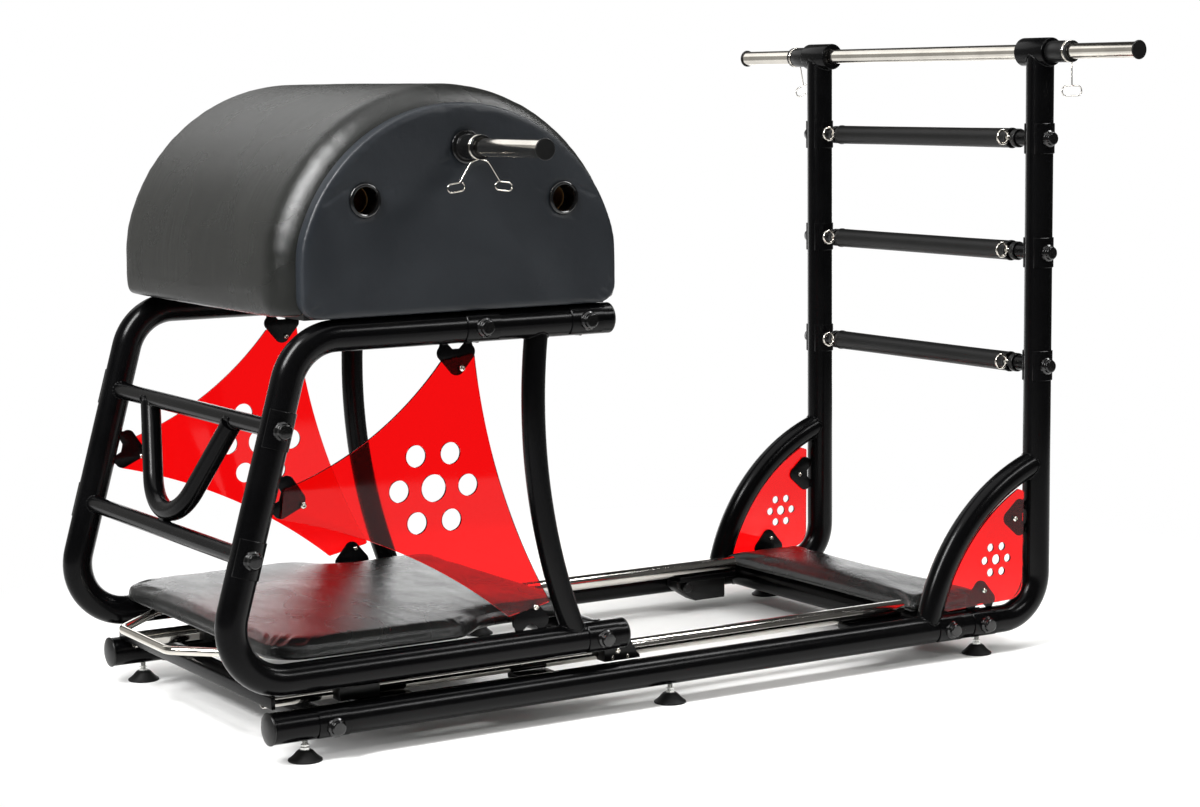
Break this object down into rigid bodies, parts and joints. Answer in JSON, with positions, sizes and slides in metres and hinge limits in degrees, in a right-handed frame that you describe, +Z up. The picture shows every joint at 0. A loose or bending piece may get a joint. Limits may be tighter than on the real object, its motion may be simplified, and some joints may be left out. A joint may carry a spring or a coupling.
{
  "type": "pilates ladder barrel",
  "caption": "Pilates ladder barrel: padded half-round drum on a carriage that slides on rails along a tubular steel base, with a rung ladder, hand bars and wire clips.",
  "frame": {"origin": "on the floor, midway between the two ladder posts", "axes": "+Z up; +X from the barrel towards the ladder; the sides named near are at -Y and far at +Y"},
  "size_m": [1.9012, 1.354, 1.2635],
  "materials": {
    "frame_paint": "satin powder coat",
    "stainless": "polished",
    "vinyl": "fine-grained upholstery vinyl",
    "side_vinyl": "smooth matt upholstery vinyl",
    "black_plastic": "moulded, satin",
    "grip_foam": "closed-cell foam, matt",
    "red_acrylic": "translucent, polished faces and edges",
    "plywood": "plain plywood"
  },
  "bodies": {
    "base": {"base_frame_near": "frame_paint", "base_frame_far": "frame_paint", "base_cap_near": "black_plastic", "base_cap_far": "black_plastic", "rail_near": "stainless", "rail_far": "stainless", "bar_bush_near": "black_plastic", "bar_bush_far": "black_plastic", "ladder_panel_near": "red_acrylic", "ladder_panel_far": "red_acrylic", "front_plate": "frame_paint", "cross_tube_front": "frame_paint", "cross_tube_platform_front": "frame_paint", "cross_tube_platform_rear": "frame_paint", "platform_pad": "vinyl", "stop_block": "black_plastic", "rung_lower": "frame_paint", "rung_middle": "frame_paint", "rung_upper": "frame_paint", "grip_lower": "grip_foam", "grip_middle": "grip_foam", "grip_upper": "grip_foam"},
    "carriage": {"side_frame_near": "frame_paint", "side_frame_far": "frame_paint", "frame_cap_top_near": "black_plastic", "frame_cap_top_far": "black_plastic", "frame_cap_low_near": "black_plastic", "frame_cap_low_far": "black_plastic", "drum_side_near": "side_vinyl", "drum_side_far": "side_vinyl", "barrel_bush_near": "black_plastic", "barrel_bush_far": "black_plastic", "carriage_panel_near": "red_acrylic", "carriage_panel_far": "red_acrylic", "guide_front_near": "black_plastic", "guide_front_far": "black_plastic", "guide_rear_near": "black_plastic", "guide_rear_far": "black_plastic", "step_lower": "frame_paint", "step_upper": "frame_paint", "drum_beam_front": "frame_paint", "drum_beam_rear": "frame_paint", "rear_tie": "frame_paint", "drum_core": "plywood", "drum_cushion": "vinyl", "carriage_pad": "vinyl"},
    "ladder_bar": {"ladder_bar": "stainless"},
    "barrel_bar": {"barrel_bar": "stainless"},
    "release_handle": {"release_handle": "stainless"},
    "stop_knob": {"stop_knob": "black_plastic"},
    "ladder_clip_near": {"ladder_clip_near": "stainless"},
    "ladder_clip_far": {"ladder_clip_far": "stainless"},
    "barrel_clip_near": {"barrel_clip_near": "stainless"},
    "barrel_clip_far": {"barrel_clip_far": "stainless"},
    "foot_front_near": {"foot_front_near": "black_plastic"},
    "foot_front_far": {"foot_front_far": "black_plastic"},
    "foot_middle_near": {"foot_middle_near": "black_plastic"},
    "foot_middle_far": {"foot_middle_far": "black_plastic"},
    "foot_rear_near": {"foot_rear_near": "black_plastic"},
    "foot_rear_far": {"foot_rear_far": "black_plastic"}
  },
  "joints": [
    {"name": "carriage_slide", "type": "slide", "parent": "base", "child": "carriage", "axis": [1, 0, 0], "range_m": [0, 0.5]},
    {"name": "handle_pull", "type": "slide", "parent": "carriage", "child": "release_handle", "axis": [-1, 0, 0], "range_m": [0, 0.02], "stiffness_N_per_m": 800},
    {"name": "ladder_bar_turn", "type": "hinge", "parent": "base", "child": "ladder_bar", "pos_m": [0, 0, 1.2345], "axis": [0, 1, 0], "continuous": true},
    {"name": "barrel_bar_turn", "type": "hinge", "parent": "carriage", "child": "barrel_bar", "pos_m": [-1.3535, 0, 1.072], "axis": [0, 1, 0], "continuous": true},
    {"name": "stop_knob_turn", "type": "hinge", "parent": "base", "child": "stop_knob", "pos_m": [-0.428, 0.306, 0.06], "axis": [0, -1, 0], "continuous": true},
    {"name": "ladder_clip_near_swing", "type": "hinge", "parent": "base", "child": "ladder_clip_near", "pos_m": [0, -0.4665, 1.2345], "axis": [0, 1, 0], "continuous": true},
    {"name": "barrel_clip_near_swing", "type": "hinge", "parent": "carriage", "child": "barrel_clip_near", "pos_m": [-1.3535, -0.4477, 1.072], "axis": [0, 1, 0], "continuous": true},
    {"name": "ladder_clip_far_swing", "type": "hinge", "parent": "base", "child": "ladder_clip_far", "pos_m": [0, 0.4665, 1.2345], "axis": [0, 1, 0], "continuous": true},
    {"name": "barrel_clip_far_swing", "type": "hinge", "parent": "carriage", "child": "barrel_clip_far", "pos_m": [-1.3535, 0.4477, 1.072], "axis": [0, 1, 0], "continuous": true},
    {"name": "foot_front_near_turn", "type": "hinge", "parent": "base", "child": "foot_front_near", "pos_m": [-1.687, -0.378, 0], "axis": [0, 0, 1], "continuous": true},
    {"name": "foot_front_far_turn", "type": "hinge", "parent": "base", "child": "foot_front_far", "pos_m": [-1.687, 0.378, 0], "axis": [0, 0, 1], "continuous": true},
    {"name": "foot_middle_near_turn", "type": "hinge", "parent": "base", "child": "foot_middle_near", "pos_m": [-0.917, -0.378, 0], "axis": [0, 0, 1], "continuous": true},
    {"name": "foot_middle_far_turn", "type": "hinge", "parent": "base", "child": "foot_middle_far", "pos_m": [-0.917, 0.378, 0], "axis": [0, 0, 1], "continuous": true},
    {"name": "foot_rear_near_turn", "type": "hinge", "parent": "base", "child": "foot_rear_near", "pos_m": [-0.158, -0.378, 0], "axis": [0, 0, 1], "continuous": true},
    {"name": "foot_rear_far_turn", "type": "hinge", "parent": "base", "child": "foot_rear_far", "pos_m": [-0.158, 0.378, 0], "axis": [0, 0, 1], "continuous": true}
  ]
}
